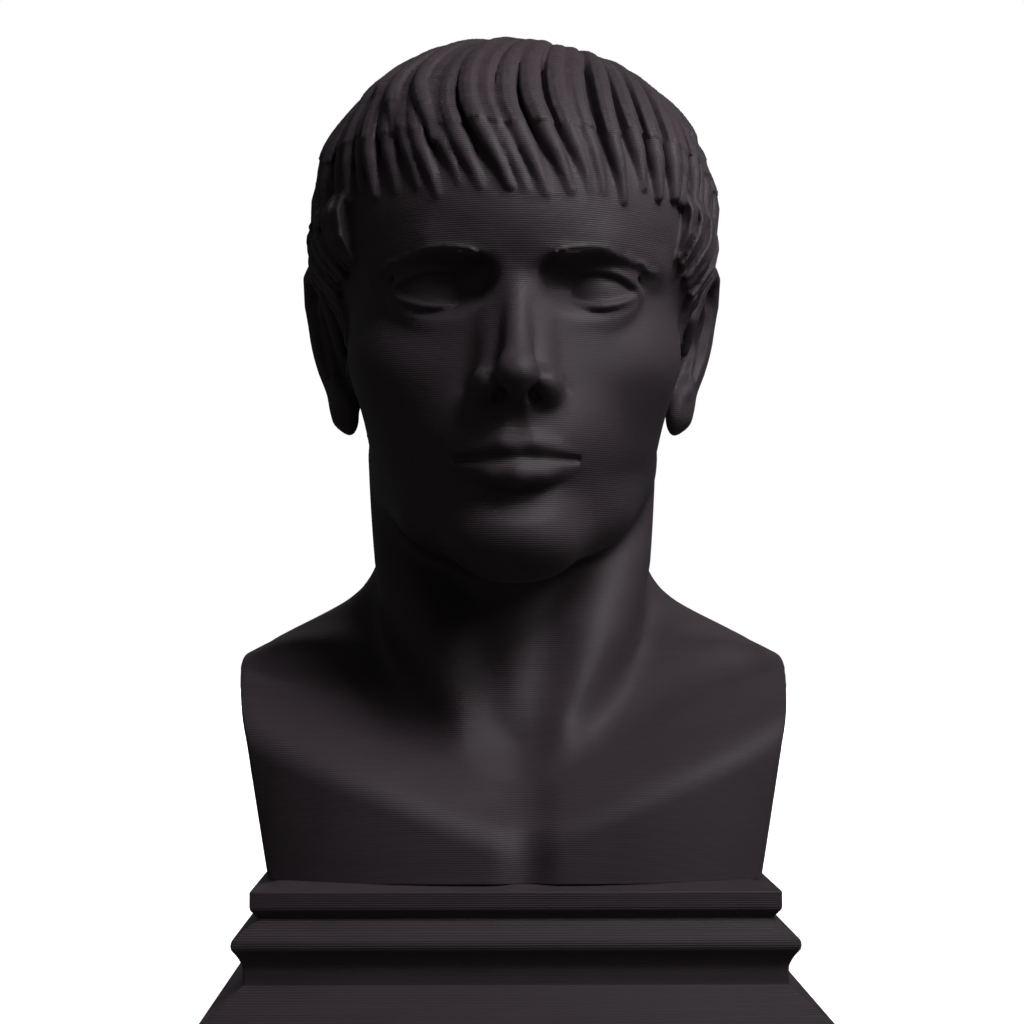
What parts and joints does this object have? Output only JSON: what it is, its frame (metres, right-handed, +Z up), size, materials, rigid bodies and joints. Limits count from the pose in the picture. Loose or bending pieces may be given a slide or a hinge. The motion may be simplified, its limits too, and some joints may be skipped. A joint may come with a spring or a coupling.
{
  "type": "roman emperor bust",
  "caption": "Desktop copy of a classical bust: head with combed-forward hair and bare chest cut off at the shoulders, on a rectangular moulded plinth, in dark matte plastic",
  "frame": {"origin": "middle of the plinth's underside", "axes": "+Z up, the face looks along -Y, +X is the viewer's right"},
  "size_m": [0.0566, 0.0554, 0.0993],
  "materials": {
    "bust_print": "matte, fine horizontal layer lines",
    "plinth_print": "matte, fine horizontal layer lines"
  },
  "bodies": {
    "root": {"bust": "bust_print", "plinth": "plinth_print"}
  },
  "joints": []
}
